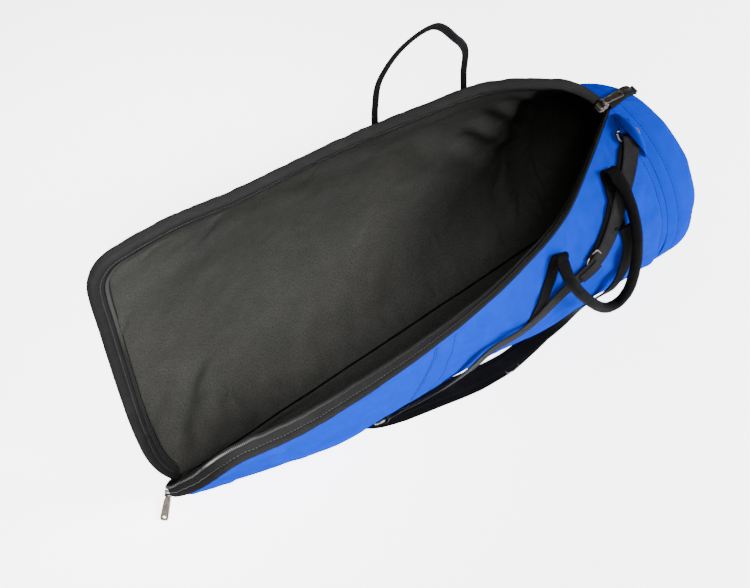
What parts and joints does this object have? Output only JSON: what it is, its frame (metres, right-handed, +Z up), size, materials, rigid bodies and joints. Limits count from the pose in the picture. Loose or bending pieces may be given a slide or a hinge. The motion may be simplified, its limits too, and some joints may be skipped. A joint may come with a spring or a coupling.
{
  "type": "telescope carry case",
  "caption": "Soft padded tube bag for a telescope tube: blue outer, black lining, long zip from domed end round the flat mouth, carry handles and a shoulder strap.",
  "frame": {"origin": "on the flat rest strip under the near half, half way along the barrel", "axes": "+X along the bag from the flat mouth to the domed end, +Y to the far half, +Z up"},
  "size_m": [0.9001, 0.3541, 0.5548],
  "materials": {
    "blue_fabric": "royal blue coated polyester, tight plain weave",
    "foam": "closed-cell foam padding, hidden between outer and lining",
    "lining": "charcoal nylon lining, satin",
    "zip_coil": "nylon coil",
    "zip_tape": "black woven zip tape",
    "nickel": "plated die-cast zinc and bent wire, slightly dulled",
    "webbing": "black polyester webbing"
  },
  "bodies": {
    "case": {"near_outer": "blue_fabric", "near_foam": "foam", "near_lining": "lining", "barrel_outer": "blue_fabric", "barrel_foam": "foam", "barrel_lining": "lining", "dome_outer": "blue_fabric", "dome_foam": "foam", "dome_lining": "lining", "zip_tape_near": "zip_tape", "zip_coil_near": "zip_coil", "zip_tape_barrel": "zip_tape", "zip_coil_barrel": "zip_coil", "zip_closed_end": "zip_tape", "zip_end_stop": "nickel", "near_leg_left": "webbing", "near_leg_right": "webbing", "ring_tab_right": "blue_fabric", "ring_tab_left": "webbing", "strap_loop_right": "webbing", "strap_loop_left": "webbing", "strap_upper": "webbing", "strap_lower": "webbing"},
    "far_flap": {"flap_outer": "blue_fabric", "flap_foam": "foam", "flap_lining": "lining", "zip_tape_flap": "zip_tape", "zip_coil_flap": "zip_coil", "far_leg_left": "webbing", "far_leg_right": "webbing"},
    "far_handle": {"far_handle": "webbing"},
    "near_grip": {"near_grip": "webbing"},
    "slider_left": {"slider_left": "nickel"},
    "pull_left": {"pull_left": "nickel"},
    "slider_right": {"slider_right": "nickel"},
    "pull_right": {"pull_right": "nickel"},
    "ring_right": {"ring_right": "nickel"},
    "ring_left": {"ring_left": "nickel"},
    "adjuster_upper": {"adjuster_upper": "nickel"},
    "adjuster_lower": {"adjuster_lower": "nickel"}
  },
  "joints": [
    {"name": "far_flap_fold", "type": "hinge", "parent": "case", "child": "far_flap", "pos_m": [0, 0.016, 0.01], "axis": [1, 0, 0], "range_deg": [-4, 25]},
    {"name": "far_handle_swing", "type": "hinge", "parent": "far_flap", "child": "far_handle", "pos_m": [0.07579, 0.14194, 0.38538], "axis": [0.9897, -0.1323, -0.0551], "range_deg": [-90, 15]},
    {"name": "near_grip_swing", "type": "hinge", "parent": "case", "child": "near_grip", "pos_m": [0.18567, -0.121, 0.28886], "axis": [0.9235, 0.338, 0.1817], "range_deg": [-140, 0]},
    {"name": "slider_left_run", "type": "slide", "parent": "case", "child": "slider_left", "axis": [-0.33, 0, 0.944], "range_m": [0, 0.018]},
    {"name": "pull_left_swing", "type": "hinge", "parent": "slider_left", "child": "pull_left", "pos_m": [-0.39177, 0.00143, 0.015], "axis": [-0.7071, 0.7071, 0], "range_deg": [0, 85]},
    {"name": "slider_right_run", "type": "slide", "parent": "case", "child": "slider_right", "axis": [-1, 0, 0], "range_m": [0, 0.03]},
    {"name": "pull_right_swing", "type": "hinge", "parent": "slider_right", "child": "pull_right", "pos_m": [0.36863, 0.02002, 0.3295], "axis": [0, -1, 0], "range_deg": [0, 140]},
    {"name": "ring_right_swing", "type": "hinge", "parent": "case", "child": "ring_right", "pos_m": [0.37186, -0.02773, 0.3178], "axis": [0.9198, -0.3879, -0.0585], "range_deg": [-5, 2]},
    {"name": "ring_left_swing", "type": "hinge", "parent": "case", "child": "ring_left", "pos_m": [-0.08838, -0.09442, 0.05847], "axis": [-0.581, -0.3635, 0.7282], "range_deg": [-5, 2]},
    {"name": "adjuster_upper_slide", "type": "slide", "parent": "case", "child": "adjuster_upper", "axis": [-0.8994, -0.2124, -0.382], "range_m": [-0.0015, 0.0015]},
    {"name": "adjuster_lower_slide", "type": "slide", "parent": "case", "child": "adjuster_lower", "axis": [-0.9993, 0.0341, 0.0132], "range_m": [-0.008, 0.008]}
  ]
}
